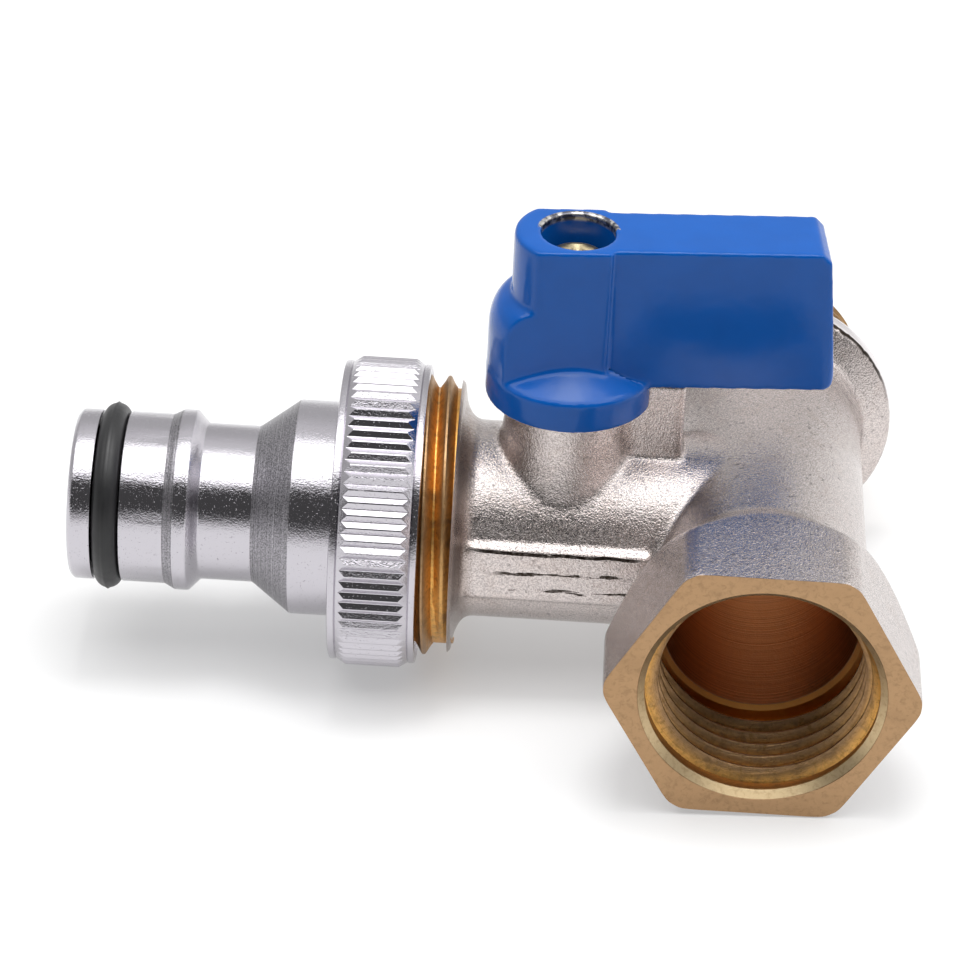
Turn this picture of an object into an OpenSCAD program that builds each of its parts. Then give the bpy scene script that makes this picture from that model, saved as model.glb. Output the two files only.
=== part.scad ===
// Angle valve: a tee body with a ball valve in its branch and a hose connector screwed on it.
// Millimetres. The Y axis is the run's axis, the inlet faces -Y, the branch points to -X and
// the valve stem points to +Z. The origin is on the run's axis where the inlet's thread starts.

/* [Inlet hexagon] */
// Width across the flats of the hexagon
hex_af = 25.3; // [24.6:0.1:28]
// Diameter that trims the forged corners of the hexagon
hex_corner_d = 28.5; // [28:0.1:29]
// Length of the hexagon along the middle of a flat
hex_flat_l = 10.9; // [9:0.1:13]
// Angle of the chamfer behind the hexagon, from the run's axis
hex_chamfer_a = 29; // [20:1:45]
// Outer diameter of the inlet thread
inlet_thread_d = 21; // [20.5:0.05:21.4]
// Depth of the inlet thread behind its mouth chamfer
inlet_thread_l = 10.9; // [9:0.1:12]
// Diameter of the mouth chamfer at the face
mouth_d = 22.3; // [21.8:0.1:23]
// Depth of the mouth chamfer
mouth_l = 0.7; // [0.4:0.1:1.2]

/* [Run] */
// Outside diameter of the run
run_d = 19.9; // [19.6:0.1:22]
// Length from the inlet face to the end of the outlet thread
run_l = 60.4; // [56:0.1:70]
// Bore behind the inlet thread
bore_in_d = 18; // [15:0.1:18.2]
// Bore of the outlet
bore_out_d = 14.5; // [12:0.1:15.5]
// Length of the outlet thread
outlet_thread_l = 9.1; // [7:0.1:14]
// Outside diameter of the outlet thread
outlet_thread_d = 20.9; // [20.5:0.05:21]
// Diameter of the collar before the outlet thread
collar_d = 26.1; // [24:0.1:28]
// Width of the collar's rim
collar_w = 2.3; // [1.5:0.1:4]
// Width of the groove between the collar and the outlet thread
outlet_groove_w = 1; // [0.6:0.1:1.6]
// Length of the sloped front of the collar
collar_slope_l = 1.4; // [0.8:0.1:3]

/* [Branch] */
// Distance from the inlet face to the branch axis
branch_y = 27.05; // [25:0.05:30]
// Distance from the run's axis to the stem's axis
stem_x = 18.8; // [18:0.1:22]
// Outside diameter of the branch
branch_d = 18.6; // [18:0.1:19.6]
// Distance from the stem's axis to the shoulder of the branch thread
shoulder_u = 10; // [9.6:0.1:11.5]
// Length of the flare up to that shoulder
flare_l = 1.7; // [1.2:0.1:2.5]
// Outside diameter of the branch thread
branch_thread_d = 26.44; // [26:0.02:26.5]
// Depth of the branch thread and of the outlet thread
thread_depth = 1.16; // [0.8:0.02:1.2]
// Pitch of the branch thread and of the outlet thread
thread_pitch = 1.814; // [1.5:0.001:2]
// Turns of the branch thread
thread_turns = 3.7; // [3.4:0.1:6]
// Height of the flat pad on the front of the branch
pad_h = 5.7; // [4:0.1:8]
// How far the pad stands proud of the branch
pad_t = 0.5; // [0.3:0.1:0.8]
// How far the pad reaches to each side of the stem's axis
pad_reach = 8.3; // [7:0.1:8.4]

/* [Bonnet and stop lug] */
// Outside diameter of the bonnet at its top
bonnet_d = 11.5; // [11:0.1:12]
// Outside diameter of the bonnet where it leaves the branch
bonnet_base_d = 12.1; // [11.8:0.1:12.6]
// Height of the bonnet's top above the branch axis
bonnet_h = 16.2; // [15.5:0.1:16.6]
// Width of the stop lug
lug_w = 4.4; // [3:0.1:5]
// Distance from the stem's axis to the lug's outer face
lug_reach = 10.8; // [9.5:0.1:12]

/* [Ball, seats and retainer] */
// Ball diameter
ball_d = 14.4; // [13.5:0.1:14.6]
// Bore through the ball, the seats and the retainer
port_d = 9.5; // [8:0.1:10]
// Wall of the seats outside the ball's sphere
seat_reach = 7.6; // [7.4:0.1:8]
// How far a seat reaches along the ball
seat_w = 3; // [2.2:0.1:3.4]
// Length of the retainer
retainer_l = 5; // [3.5:0.1:6]
// Diameter of the retainer
retainer_d = 16.3; // [15.8:0.1:17]
// Width of the key slots in the retainer
retainer_slot_w = 2; // [1.2:0.1:3]

/* [Stem] */
// Shaft diameter
stem_d = 6; // [5.6:0.1:6.4]
// Diameter of the blow-out collar
stem_collar_d = 8; // [7.4:0.1:8.4]
// Thickness of the blow-out collar
stem_collar_t = 1.1; // [0.8:0.1:1.4]
// Thickness of the thrust washer
thrust_t = 0.5; // [0.3:0.1:0.8]
// Thickness of the tongue that drives the ball
tongue_t = 2.1; // [1.6:0.1:2.6]
// Depth of the tongue
tongue_h = 1.9; // [1.4:0.1:2.2]
// Section of a stem O-ring
stem_ring_t = 0.95; // [0.8:0.05:1.1]
// Height of the lower stem O-ring
lower_ring_z = 10.6; // [10.2:0.1:11.4]
// Height of the upper stem O-ring
upper_ring_z = 13.4; // [13:0.1:14.4]
// Diameter of the stem's top end
drive_d = 5.5; // [5:0.1:5.6]
// Width across the two flats of the stem's top end
drive_af = 3.8; // [3.4:0.1:4.4]

/* [Handle] */
// Angle of the handle as photographed, past in line with the branch
handle_rest_a = 4.9; // [0:0.1:8]
// Height of the handle's top above the branch axis
handle_top_z = 31.3; // [30:0.1:34]
// Height of the skirt's lower edge above the branch axis
skirt_z = 14.5; // [14:0.1:15]
// Height of the wing's lower edge above the branch axis
wing_z = 17.15; // [17:0.05:18]
// Diameter of the skirt
skirt_d = 15.6; // [15.2:0.1:17]
// Inside diameter of the skirt
skirt_bore_d = 12.8; // [12.6:0.1:13.4]
// Diameter of the tower round the screw
tower_d = 11.6; // [10:0.1:13]
// Thickness of the tower
tower_t = 8.8; // [8:0.1:10]
// How far the thick part of the tower reaches towards the wing
tower_reach = 2.9; // [1:0.1:3.5]
// Thickness of the wing
wing_t = 7.7; // [6:0.1:8.6]
// Distance from the stem's axis to the wing's end at the top
wing_reach = 22.8; // [20:0.1:34]
// How much further the wing's end reaches at the bottom
wing_draft = 1.2; // [0:0.1:2]
// Radius of the wing's edges
wing_edge_r = 0.9; // [0.5:0.1:1.5]
// Height of the hub's shoulder, where it starts to round over
shoulder_z = 21.6; // [20:0.1:23]
// Height of that rounding
shoulder_h = 3.3; // [2:0.1:4]
// Diameter of the screw recess
recess_d = 6.8; // [6:0.1:7.4]
// Depth of the recess to the screw's seat
recess_l = 4.9; // [4:0.1:6]
// Thickness of the web that the screw clamps
web_t = 1.2; // [0.8:0.1:2]

/* [Handle screw] */
// Head diameter
screw_head_d = 5.5; // [4.6:0.1:5.6]
// Head height
screw_head_h = 1.9; // [1.4:0.1:2.4]
// Shank diameter
screw_d = 3; // [2.5:0.1:3]
// Shank length
screw_l = 8; // [6:0.5:10]

/* [Union nut] */
// Distance from the stem's axis to the nut's open end
nut_u = 12.95; // [12:0.05:14]
// Length of the nut
nut_l = 8.15; // [7.6:0.05:10]
// Diameter over the knurl
knurl_d = 29.2; // [28.8:0.1:31]
// Number of teeth in the knurl
knurl_teeth = 52; // [36:1:60]
// Depth of a knurl tooth
knurl_depth = 0.55; // [0.35:0.05:0.7]
// Diameter of the plain rims
rim_d = 28.3; // [28:0.1:29]
// Width of the plain rim on the open side
rim_open_w = 1.35; // [0.8:0.05:2]
// Width of the plain rim on the nipple side
rim_lip_w = 1.45; // [0.8:0.05:2]
// Thickness of the nut's lip
lip_t = 1.2; // [0.9:0.1:1.6]

/* [Nipple] */
// Distance from the stem's axis to the nipple's tip
tip_u = 45.95; // [44:0.05:50]
// Diameter of the base cylinder
base_d = 20.3; // [19:0.1:21]
// Distance from the stem's axis to the start of the cone
cone_u = 25.1; // [24:0.1:26]
// Length of the cone
cone_l = 3.7; // [3:0.1:5]
// Diameter of the neck
neck_d = 14.8; // [14:0.1:15.4]
// Length of the neck
neck_l = 4.9; // [4:0.1:6]
// Diameter of the locking ridge
ridge_d = 17.1; // [16.6:0.1:17.8]
// Length of the slope from the neck up to the ridge
ridge_back_l = 1.1; // [0.8:0.1:1.4]
// Length of the ridge's flat
ridge_l = 1.25; // [0.8:0.05:2]
// Length of the ramp from the ridge down to the tip's barrel
ramp_l = 0.95; // [0.6:0.05:1.6]
// Diameter of the tip's barrel
tip_d = 16.1; // [15.6:0.1:16.4]
// Distance from the tip to the near side of the O-ring groove
groove_in = 2.2; // [1.6:0.1:3]
// Width of the O-ring groove
groove_w = 2.65; // [2.5:0.05:2.9]
// Depth of the O-ring groove
groove_depth = 1.7; // [1.5:0.05:1.9]
// Section of the nipple's O-ring
ring_t = 2.4; // [2.2:0.05:2.45]
// Waterway through the nipple
nipple_bore_d = 10.6; // [8:0.1:11]
// Thickness of the nipple's flange
flange_t = 1.5; // [1.2:0.05:2]
// Diameter of the nipple's flange
flange_d = 25.8; // [25:0.1:26.1]
// Outside diameter of the flat washer
washer_d = 24; // [22:0.1:24.2]
// Inside diameter of the flat washer
washer_bore_d = 15; // [13:0.1:17]

/* [Fits] */
// Radial clearance of a turning or sliding fit
run_gap = 0.05; // [0.03:0.01:0.08]
// Clearance between pieces that are screwed or pressed together
seat_gap = 0.02; // [0.01:0.01:0.04]
// Clearance round the screwed nut and the nipple's base
nut_gap = 0.1; // [0.06:0.01:0.2]

/* [Hidden] */
$fn = 96;
e = 0.01;

// Run, measured from the origin
face_y = -mouth_l;
end_y = face_y + run_l;
thread_y0 = end_y - outlet_thread_l;
collar_y1 = thread_y0 - outlet_groove_w;
collar_y0 = collar_y1 - collar_w;
hex_back_l = (hex_corner_d / 2 - hex_af / 2) / tan(hex_chamfer_a);
hex_nose_l = (hex_af / 2 - run_d / 2) / tan(hex_chamfer_a);
edge_c = 0.6;
outlet_root_r = outlet_thread_d / 2 - thread_depth;
run_flare_l = 1.8;
run_flare_r = 0.4;

// Branch, measured from the stem's axis along -X
ball_r = ball_d / 2;
chamber_r = ball_r + 0.3;
thread_r = branch_thread_d / 2;
root_r = thread_r - thread_depth;
thread_end_u = shoulder_u + thread_turns * thread_pitch;
rim_step = 0.25;
collar_seat_z = ball_r + run_gap + stem_collar_t + thrust_t + run_gap;
lug_top_z = wing_z - 0.25;

// Handle
screw_seat_z = handle_top_z - recess_l;
socket_z = screw_seat_z - web_t;
stem_top_z = socket_z - 2 * run_gap;
skirt_rim_z = wing_z + 0.35;
dome_h = 2.2;

// Connector
washer_u1 = nut_u + nut_l - lip_t - run_gap - flange_t;
nut_bore_r = thread_r + nut_gap;
neck_u = cone_u + cone_l;
ridge_u = neck_u + neck_l + ridge_back_l;
barrel_u = ridge_u + ridge_l + ramp_l;
groove_u1 = tip_u - groove_in;
groove_u0 = groove_u1 - groove_w;

// Places a child's Z axis on the run's axis, pointing to the outlet
module along_run(y = 0) {
    translate([0, y, 0]) rotate([-90, 0, 0]) children();
}

// Places a child's Z axis on the branch axis, pointing to the nipple
module along_branch(u = 0) {
    translate([-stem_x - u, face_y + branch_y, 0]) rotate([0, -90, 0]) children();
}

// Places a child's Z axis on the stem's axis
module along_stem(z = 0) {
    translate([-stem_x, face_y + branch_y, z]) children();
}

// Places a child on the stem's axis, turned as the handle stands
module as_handled(z = 0) {
    along_stem(z) rotate([0, 0, handle_rest_a]) children();
}

module tube(r_out, r_in, h) {
    difference() {
        cylinder(r = r_out, h = h);
        translate([0, 0, -e]) cylinder(r = r_in, h = h + 2 * e);
    }
}

module torus(r_mid, section_d) {
    rotate_extrude() translate([r_mid, 0]) circle(d = section_d, $fn = 48);
}

// Ridges of a male thread, each a ring with the thread's own profile
module thread_ridges(crest_r, start, turns) {
    foot_r = crest_r - thread_depth;
    crest_w = thread_pitch / 8;
    half = thread_pitch * 0.42;
    rotate_extrude() union() {
        for (k = [0 : floor(turns) - 1])
            let (at = start + (k + 0.35) * thread_pitch)
            polygon([[foot_r - 0.3, at - half], [foot_r, at - half], [crest_r, at - crest_w / 2],
                     [crest_r, at + crest_w / 2], [foot_r, at + half], [foot_r - 0.3, at + half]]);
    }
}

// Forged blank of the run: hexagon, tube, collar and the outlet's thread
module run_blank() {
    corner_r = hex_corner_d / 2;
    along_run(face_y) intersection() {
        cylinder(r = hex_af / 2 / cos(30), h = hex_flat_l + hex_nose_l, $fn = 6);
        union() {
            cylinder(r = corner_r, h = hex_flat_l - hex_back_l);
            translate([0, 0, hex_flat_l - hex_back_l])
                cylinder(r1 = corner_r, r2 = run_d / 2, h = hex_back_l + hex_nose_l);
        }
    }
    flare_y0 = collar_y0 - collar_slope_l - run_flare_l;
    along_run() rotate_extrude() polygon([
        [0, face_y + 2], [run_d / 2, face_y + 2],
        [run_d / 2, flare_y0],
        [run_d / 2 + run_flare_r, flare_y0 + run_flare_l],
        [collar_d / 2, collar_y0],
        [collar_d / 2, collar_y1 - rim_step],
        [collar_d / 2 - rim_step, collar_y1],
        [outlet_root_r, collar_y1],
        [outlet_root_r, end_y - edge_c],
        [outlet_root_r - edge_c, end_y],
        [0, end_y]]);
    along_run() thread_ridges(outlet_thread_d / 2, thread_y0, outlet_thread_l / thread_pitch);
}

// Forged blank of the branch: tube, flare, thread and the flat pad
module branch_blank() {
    along_branch() rotate_extrude() polygon([
        [0, -stem_x], [branch_d / 2, -stem_x],
        [branch_d / 2, shoulder_u - flare_l],
        [branch_d / 2 + 0.5, shoulder_u - flare_l * 0.62],
        [branch_d / 2 + 1.7, shoulder_u - flare_l * 0.3],
        [thread_r - rim_step, shoulder_u - rim_step],
        [thread_r - rim_step, shoulder_u],
        [root_r, shoulder_u],
        [root_r, thread_end_u - edge_c],
        [root_r - edge_c, thread_end_u],
        [0, thread_end_u]]);
    along_branch() thread_ridges(thread_r, shoulder_u, thread_turns);
    pad_y = branch_d / 2 + pad_t;
    translate([-stem_x - pad_reach, face_y + branch_y - pad_y, -pad_h / 2])
        cube([pad_reach + pad_reach, pad_y, pad_h]);
}

// Bonnet with its flared foot, and the lug that stops the handle
module bonnet_blank() {
    foot_z = branch_d / 2 - 0.6;
    along_stem() rotate_extrude() polygon([
        [0, 0], [bonnet_base_d / 2 + 0.9, 0],
        [bonnet_base_d / 2 + 0.9, foot_z - 2.4],
        [bonnet_base_d / 2 + 0.35, foot_z - 0.6],
        [bonnet_base_d / 2, foot_z + 1.2],
        [bonnet_d / 2, skirt_z],
        [bonnet_d / 2, bonnet_h - rim_step],
        [bonnet_d / 2 - rim_step, bonnet_h],
        [0, bonnet_h]]);
    along_stem() translate([0, -lug_w / 2, 0]) cube([lug_reach, lug_w, lug_top_z]);
}

// Everything that is drilled, bored or tapped in the body
module body_bores() {
    taper_l = branch_y + chamber_r - inlet_thread_l;
    along_run(face_y - e) cylinder(r1 = mouth_d / 2 + e, r2 = inlet_thread_d / 2, h = mouth_l + e);
    along_run(-e) cylinder(d = inlet_thread_d, h = inlet_thread_l + e);
    along_run(inlet_thread_l - e) cylinder(d1 = bore_in_d, d2 = bore_out_d, h = taper_l + e);
    along_run(inlet_thread_l + taper_l - e) cylinder(d = bore_out_d, h = run_l);
    along_branch(-stem_x) cylinder(d = port_d, h = stem_x);
    along_branch(-seat_reach) cylinder(r = chamber_r, h = 2 * seat_reach);
    along_branch(seat_reach - e) cylinder(d = retainer_d + 2 * seat_gap, h = thread_end_u);
    along_stem() cylinder(d = stem_collar_d + 2 * run_gap, h = collar_seat_z);
    along_stem() cylinder(d = stem_d + 2 * run_gap, h = bonnet_h + 1);
}

module valve_body() {
    color("silver") difference() {
        union() {
            run_blank();
            branch_blank();
            bonnet_blank();
        }
        body_bores();
    }
}

module ball() {
    color("gainsboro") as_handled() difference() {
        sphere(r = ball_r);
        translate([-ball_r - 1, 0, 0]) rotate([0, 90, 0]) cylinder(d = port_d, h = ball_d + 2);
        translate([-tongue_t / 2 - run_gap, -ball_r, ball_r - tongue_h - run_gap])
            cube([tongue_t + 2 * run_gap, ball_d, ball_d]);
    }
}

// Seat ring with the ball's sphere cut into one side
module seat() {
    difference() {
        tube(chamber_r - seat_gap, port_d / 2, seat_w);
        translate([0, 0, seat_w - seat_reach]) sphere(r = ball_r + run_gap);
    }
}

module inner_seat() {
    color("white") along_branch(-seat_reach + seat_gap) mirror([0, 0, 1])
        translate([0, 0, -seat_w]) seat();
}

module outer_seat() {
    color("white") along_branch(seat_reach - seat_w - seat_gap) seat();
}

module seat_retainer() {
    slot_h = 1.6;
    color("goldenrod") along_branch(seat_reach) difference() {
        tube(retainer_d / 2, port_d / 2, retainer_l);
        translate([-retainer_slot_w / 2, -retainer_d / 2 - 1, retainer_l - slot_h])
            cube([retainer_slot_w, retainer_d + 2, slot_h + 1]);
    }
}

module stem() {
    collar_z = ball_r + run_gap;
    groove_half = stem_ring_t / 2 + 0.15;
    ring_groove_r = stem_d / 2 - stem_ring_t;
    color("goldenrod") as_handled() difference() {
        union() {
            translate([-tongue_t / 2, -stem_collar_d / 2 + 0.6, collar_z - tongue_h])
                cube([tongue_t, stem_collar_d - 1.2, tongue_h + e]);
            translate([0, 0, collar_z]) cylinder(d = stem_collar_d, h = stem_collar_t);
            translate([0, 0, collar_z]) cylinder(d = stem_d, h = bonnet_h - collar_z);
            intersection() {
                translate([0, 0, bonnet_h - e]) cylinder(d = drive_d, h = stem_top_z - bonnet_h + e);
                translate([-drive_d, -drive_af / 2, 0]) cube([2 * drive_d, drive_af, stem_top_z]);
            }
        }
        for (z = [lower_ring_z, upper_ring_z])
            translate([0, 0, z - groove_half]) tube(stem_d, ring_groove_r, 2 * groove_half);
        translate([0, 0, screw_seat_z - screw_l - 1]) cylinder(d = screw_d + 2 * seat_gap, h = screw_l);
    }
}

module stem_thrust_washer() {
    color("white") along_stem(ball_r + run_gap + stem_collar_t)
        tube(stem_collar_d / 2, stem_d / 2 + run_gap, thrust_t);
}

// O-ring that lies in a groove of the stem and fills it up to the stem's bore
module stem_ring(z) {
    color("dimgray") along_stem(z)
        torus(stem_d / 2 - stem_ring_t / 2 + run_gap / 2, stem_ring_t - run_gap / 2);
}

module lower_stem_ring() stem_ring(lower_ring_z);

module upper_stem_ring() stem_ring(upper_ring_z);

// Hub of the handle: skirt, domed ledge, boss with its rounded shoulder and the screw tower
module handle_hub() {
    boss_r = skirt_d / 2;
    tower_r = tower_d / 2;
    translate([0, 0, skirt_z]) cylinder(r = boss_r, h = skirt_rim_z - skirt_z);
    translate([0, 0, skirt_rim_z - e])
        cylinder(r1 = boss_r, r2 = 1, h = dome_h);
    intersection() {
        rotate_extrude() polygon(concat(
            [[0, wing_z], [boss_r - 0.05, wing_z]],
            [for (a = [0 : 10 : 90])
                [tower_r + (boss_r - 0.05 - tower_r) * cos(a), shoulder_z + shoulder_h * sin(a)]],
            [[tower_r, handle_top_z - rim_step], [tower_r - rim_step, handle_top_z],
             [0, handle_top_z]]));
        translate([-skirt_d, -tower_t / 2, 0]) cube([skirt_d + tower_reach, tower_t, handle_top_z]);
    }
}

// Wing of the handle: its plan with round corners, cut to a side view with a drafted end
module handle_wing() {
    r = wing_edge_r;
    far = wing_reach + wing_draft;
    height = handle_top_z - wing_z;
    intersection() {
        translate([0, 0, wing_z]) linear_extrude(height = height) union() {
            translate([0, -wing_t / 2]) square([far - r, wing_t]);
            translate([0, r - wing_t / 2]) square([far, wing_t - 2 * r]);
            for (y = [r - wing_t / 2, wing_t / 2 - r]) translate([far - r, y]) circle(r = r);
        }
        translate([0, wing_t, 0]) rotate([90, 0, 0]) linear_extrude(height = 2 * wing_t) polygon([
            [-1, wing_z], [far - r, wing_z], [far - r * 0.3, wing_z + r * 0.3], [far, wing_z + r],
            [wing_reach, handle_top_z - r], [wing_reach - r, handle_top_z], [-1, handle_top_z]]);
    }
}

module handle() {
    skirt_cut = lug_w / 2 + run_gap;
    color("royalblue") difference() {
        as_handled() union() {
            handle_hub();
            handle_wing();
        }
        along_stem(skirt_z - 0.5) linear_extrude(height = wing_z - skirt_z + 0.5) union() {
            circle(d = skirt_bore_d);
            translate([-skirt_cut, -skirt_cut]) square(skirt_d);
        }
        as_handled(wing_z - 0.5) linear_extrude(height = socket_z - wing_z + 0.5) intersection() {
            circle(d = drive_d + 2 * seat_gap);
            square([2 * drive_d, drive_af + 2 * seat_gap], center = true);
        }
        as_handled(screw_seat_z) cylinder(d = recess_d, h = recess_l + 1);
        as_handled(socket_z - 0.5) cylinder(d = screw_d + 0.3, h = web_t + 1);
    }
}

// Pan-head screw with a cross recess
module handle_screw() {
    cross_w = 0.8;
    cross_l = 3;
    color("silver") as_handled(screw_seat_z) difference() {
        union() {
            rotate_extrude() polygon([
                [0, 0], [screw_head_d / 2, 0], [screw_head_d / 2, screw_head_h * 0.55],
                [screw_head_d / 2 - 0.35, screw_head_h * 0.85],
                [screw_head_d / 2 - 1, screw_head_h], [0, screw_head_h]]);
            translate([0, 0, -screw_l]) cylinder(d = screw_d, h = screw_l + e);
        }
        for (a = [0, 90]) rotate([0, 0, a])
            translate([-cross_l / 2, -cross_w / 2, screw_head_h - 1.1]) cube([cross_l, cross_w, 2]);
    }
}

// Outline of the knurl: one V tooth for each step round the rim
function knurl_point(i) =
    let (a = 180 * i / knurl_teeth, r = knurl_d / 2 - (i % 2) * knurl_depth)
    [r * cos(a), r * sin(a)];

module knurl_band(h) {
    bevel = knurl_d / 2 - rim_d / 2;
    intersection() {
        linear_extrude(height = h) polygon([for (i = [0 : 2 * knurl_teeth - 1]) knurl_point(i)]);
        rotate_extrude() polygon([
            [0, 0], [rim_d / 2, 0], [knurl_d / 2 + 0.1, bevel + 0.1],
            [knurl_d / 2 + 0.1, h - bevel - 0.1], [rim_d / 2, h], [0, h]]);
    }
}

module union_nut() {
    knurl_l = nut_l - rim_open_w - rim_lip_w;
    lip_r = base_d / 2 + nut_gap;
    color("gainsboro") along_branch(nut_u) difference() {
        union() {
            rotate_extrude() polygon([
                [0, 0], [rim_d / 2 - rim_step, 0], [rim_d / 2, rim_step],
                [rim_d / 2, nut_l - rim_step], [rim_d / 2 - rim_step, nut_l], [0, nut_l]]);
            translate([0, 0, rim_open_w]) knurl_band(knurl_l);
        }
        translate([0, 0, -e]) cylinder(r1 = nut_bore_r + 0.4, r2 = nut_bore_r, h = 0.5);
        translate([0, 0, -e]) cylinder(r = nut_bore_r, h = nut_l - lip_t + e);
        cylinder(r = lip_r, h = nut_l + 1);
    }
}

// Turned nipple, from its flange inside the nut to its tip
module nipple() {
    bore_r = nipple_bore_d / 2;
    flare_r = washer_bore_d / 2;
    flare_u = cone_u + 1;
    tip_c = 0.4;
    groove_r = tip_d / 2 - groove_depth;
    color("gainsboro") along_branch() rotate_extrude() polygon([
        [flare_r, washer_u1], [flange_d / 2, washer_u1], [flange_d / 2, washer_u1 + flange_t],
        [base_d / 2, washer_u1 + flange_t], [base_d / 2, cone_u],
        [neck_d / 2, neck_u], [neck_d / 2, neck_u + neck_l],
        [ridge_d / 2, ridge_u], [ridge_d / 2, ridge_u + ridge_l],
        [tip_d / 2, barrel_u], [tip_d / 2, groove_u0],
        [groove_r, groove_u0], [groove_r, groove_u1],
        [tip_d / 2, groove_u1], [tip_d / 2, tip_u - tip_c], [tip_d / 2 - tip_c, tip_u],
        [bore_r + tip_c, tip_u], [bore_r, tip_u - tip_c], [bore_r, flare_u + 3],
        [flare_r, flare_u]]);
}

module nipple_o_ring() {
    groove_r = tip_d / 2 - groove_depth;
    color("black") along_branch((groove_u0 + groove_u1) / 2)
        torus(groove_r + ring_t / 2 + seat_gap, ring_t);
}

module union_washer() {
    color("dimgray") along_branch(thread_end_u)
        tube(washer_d / 2, washer_bore_d / 2, washer_u1 - thread_end_u);
}

valve_body();
handle();
handle_screw();
union_nut();
nipple();
nipple_o_ring();
ball();
inner_seat();
outer_seat();
seat_retainer();
stem();
stem_thrust_washer();
lower_stem_ring();
upper_stem_ring();
union_washer();
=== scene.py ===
"""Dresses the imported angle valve: forged nickel body, bare brass threads, painted handle, chrome connector."""

import math

import bmesh
import bpy
from mathutils import Matrix, Vector


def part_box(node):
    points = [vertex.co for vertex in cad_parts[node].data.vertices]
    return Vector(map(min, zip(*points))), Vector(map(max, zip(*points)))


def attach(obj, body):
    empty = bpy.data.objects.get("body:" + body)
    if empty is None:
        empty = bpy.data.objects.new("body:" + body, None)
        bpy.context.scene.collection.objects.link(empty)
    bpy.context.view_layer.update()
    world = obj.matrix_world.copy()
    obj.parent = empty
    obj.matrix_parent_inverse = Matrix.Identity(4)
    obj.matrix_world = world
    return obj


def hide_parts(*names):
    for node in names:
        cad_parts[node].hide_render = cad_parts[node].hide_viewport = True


bl_info = {
    "name": "Angle valve",
    "version": (1, 0, 0),
    "blender": (4, 5, 0),
    "location": "3D View > Sidebar > Angle valve",
    "description": "Builds the looks of an angle valve with a hose connector around its packed model",
    "category": "Object",
}

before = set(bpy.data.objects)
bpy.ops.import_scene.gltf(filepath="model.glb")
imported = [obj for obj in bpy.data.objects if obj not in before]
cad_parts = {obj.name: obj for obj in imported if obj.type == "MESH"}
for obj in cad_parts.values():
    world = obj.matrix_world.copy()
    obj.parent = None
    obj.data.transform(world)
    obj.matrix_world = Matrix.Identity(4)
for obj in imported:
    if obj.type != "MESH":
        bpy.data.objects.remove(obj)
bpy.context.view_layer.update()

MM = 0.001
TURN = 2 * math.pi
WALL_LIGHT = 0.6
TOP_LIGHT = 0.95
SIDE_LIGHT = 0.6
CARD_LIGHT = 0.08
SOFTBOX_FRONT = math.radians(59)
SOFTBOX_REAR = math.radians(106)
CORE_FRONT = math.radians(84)
CORE_REAR = math.radians(100)

# Laps on the pad: height, half width, start and end along X in millimetres, and how broken each is.
PAD_LAPS = ((2.45, 0.2, -27.5, -11.0, 0.24), (0.35, 0.3, -25.5, -11.5, 0.4), (-1.5, 0.34, -24.5, -11.5, 0.44))

# Where a tooth's columns of points stand, as a share of its pitch, and how deep each lies in the groove.
TOOTH_COLUMNS = ((0.0, 0.0), (0.1, 0.0), (0.52, 1.0), (0.58, 1.0))


def node_box(node):
    """Lowest and highest corner of a CAD node, in millimetres."""
    low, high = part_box(node)
    return low / MM, high / MM


BODY_LOW, BODY_HIGH = node_box("valve_body")
STEM_LOW, STEM_HIGH = node_box("stem_thrust_washer")
NUT_LOW, NUT_HIGH = node_box("union_nut")
NIPPLE_LOW, NIPPLE_HIGH = node_box("nipple")
RING_LOW, RING_HIGH = node_box("nipple_o_ring")
HANDLE_LOW, HANDLE_HIGH = node_box("handle")
SCREW_LOW, SCREW_HIGH = node_box("handle_screw")

STEM_X = (STEM_LOW.x + STEM_HIGH.x) / 2
BRANCH_Y = (NIPPLE_LOW.y + NIPPLE_HIGH.y) / 2
FACE_Y = BODY_LOW.y
END_Y = BODY_HIGH.y
BRANCH_END_U = STEM_X - BODY_LOW.x
NUT_U = STEM_X - NUT_HIGH.x
NUT_END_U = STEM_X - NUT_LOW.x
TIP_U = STEM_X - NIPPLE_LOW.x
FLANGE_U = STEM_X - NIPPLE_HIGH.x

ALONG_RUN = Matrix.Rotation(-math.pi / 2, 4, "X")
ALONG_BRANCH = Matrix.Translation((STEM_X, BRANCH_Y, 0)) @ Matrix.Rotation(-math.pi / 2, 4, "Y")
ALONG_STEM = Matrix.Translation((STEM_X, BRANCH_Y, 0))


def length(label, text, value):
    """A size in millimetres that the sidebar can change."""
    return bpy.props.FloatProperty(name=label, description=text, default=value, min=0, soft_max=80)


def colour(label, text, value):
    return bpy.props.FloatVectorProperty(
        name=label, description=text, default=value, subtype="COLOR", size=3, min=0, max=1)


def share(label, text, value):
    return bpy.props.FloatProperty(name=label, description=text, default=value, min=0, max=1)


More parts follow.
